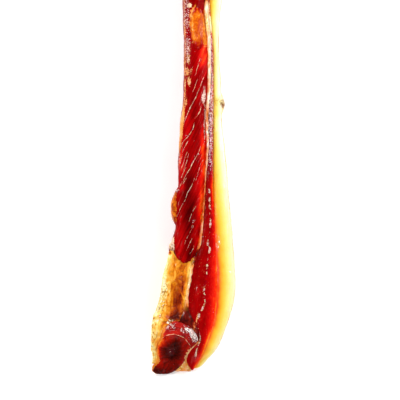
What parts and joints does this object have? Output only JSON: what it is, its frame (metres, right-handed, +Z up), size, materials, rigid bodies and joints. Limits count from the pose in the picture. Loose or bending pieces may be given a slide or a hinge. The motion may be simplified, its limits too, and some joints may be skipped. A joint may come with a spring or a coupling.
{
  "type": "cured pork belly",
  "caption": "strip of cured pork belly lying on a cut side, with layers of fat and lean side by side, rind along one edge and a rolled end of lean",
  "frame": {"origin": "middle of the bounding box's underside, on the surface that the strip lies on", "axes": "+Y runs along the strip from its rolled end to its upper cut end, +X points to the rind, +Z points up out of the shown cut side"},
  "size_m": [0.0762, 0.378, 0.0385],
  "materials": {
    "golden_fat": "oily, translucent golden fat with rind",
    "outer_red": "oily red lean",
    "seam_cream": "oily cream fat",
    "roll_red": "oily, very dark red lean",
    "pad_amber": "oily amber fat",
    "inner_red": "oily dark red lean with slanting grain",
    "island_tan": "oily tan fat"
  },
  "bodies": {
    "root": {"back_fat": "golden_fat", "outer_lean": "outer_red", "seam_fat": "seam_cream", "rolled_end": "roll_red", "fat_pad": "pad_amber", "inner_lean": "inner_red", "fat_island": "island_tan"}
  },
  "joints": []
}
